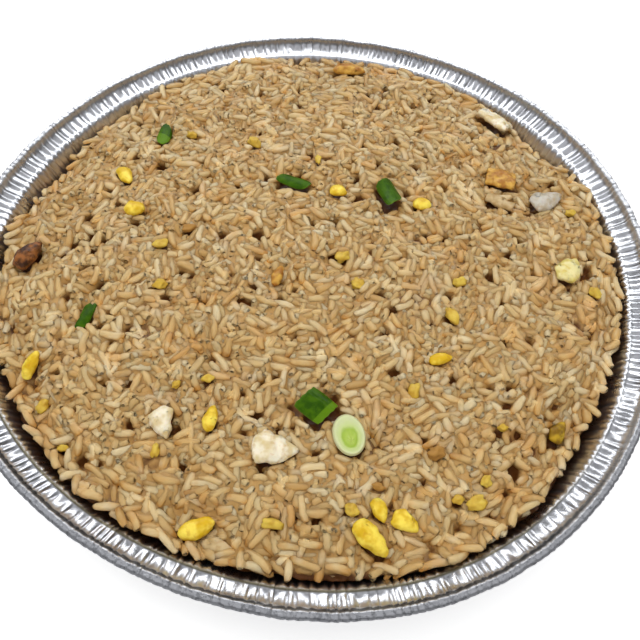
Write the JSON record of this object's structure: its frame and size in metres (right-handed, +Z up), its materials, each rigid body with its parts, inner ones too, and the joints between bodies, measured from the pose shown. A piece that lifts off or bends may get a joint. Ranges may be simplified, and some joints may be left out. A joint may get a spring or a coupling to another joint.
{
  "type": "fried rice in a round foil pan",
  "caption": "Cooked rice with egg and spring onion heaped in a round rolled-rim foil take-out pan.",
  "frame": {"origin": "centre of the pan's flat underside", "axes": "+Z up out of the pan, -Y towards the diner, +X to the diner's right"},
  "size_m": [0.23, 0.2302, 0.0499],
  "materials": {
    "foil": "thin bright pleated foil",
    "rice": "moist, softly glossy cooked grain",
    "leaf_green": "wet green leaf",
    "stem_pale": "wet pale stem",
    "egg_white": "soft cooked egg white",
    "egg_yolk": "soft cooked yolk",
    "egg_browned": "fried, browned egg",
    "meat": "dark roast meat"
  },
  "bodies": {
    "root": {"foil_pan": "foil", "rice_heap": "rice", "scallion_leaf_square": "leaf_green", "scallion_stem_slice": "stem_pale", "scallion_leaf_wedge": "leaf_green", "scallion_leaf_strip": "leaf_green", "scallion_leaf_curl": "leaf_green", "scallion_leaf_fleck": "leaf_green", "egg_white_lobed": "egg_white", "egg_white_scrap": "egg_white", "egg_white_clear": "egg_white", "egg_white_pale": "egg_white", "egg_white_rim": "egg_white", "egg_white_curl": "egg_white", "egg_white_front": "egg_white", "egg_yolk_bean": "egg_yolk", "egg_yolk_drop": "egg_yolk", "egg_yolk_knob": "egg_yolk", "egg_yolk_crumb": "egg_yolk", "egg_yolk_left": "egg_yolk", "egg_yolk_round": "egg_yolk", "egg_yolk_back": "egg_yolk", "egg_yolk_stub": "egg_yolk", "egg_yolk_bud": "egg_yolk", "egg_yolk_flat": "egg_yolk", "egg_yolk_strip": "egg_yolk", "egg_yolk_mustard": "egg_yolk", "egg_yolk_golden": "egg_browned", "egg_fold_browned": "egg_browned", "egg_flake_browned": "egg_browned", "pork_chunk": "meat"}
  },
  "joints": []
}
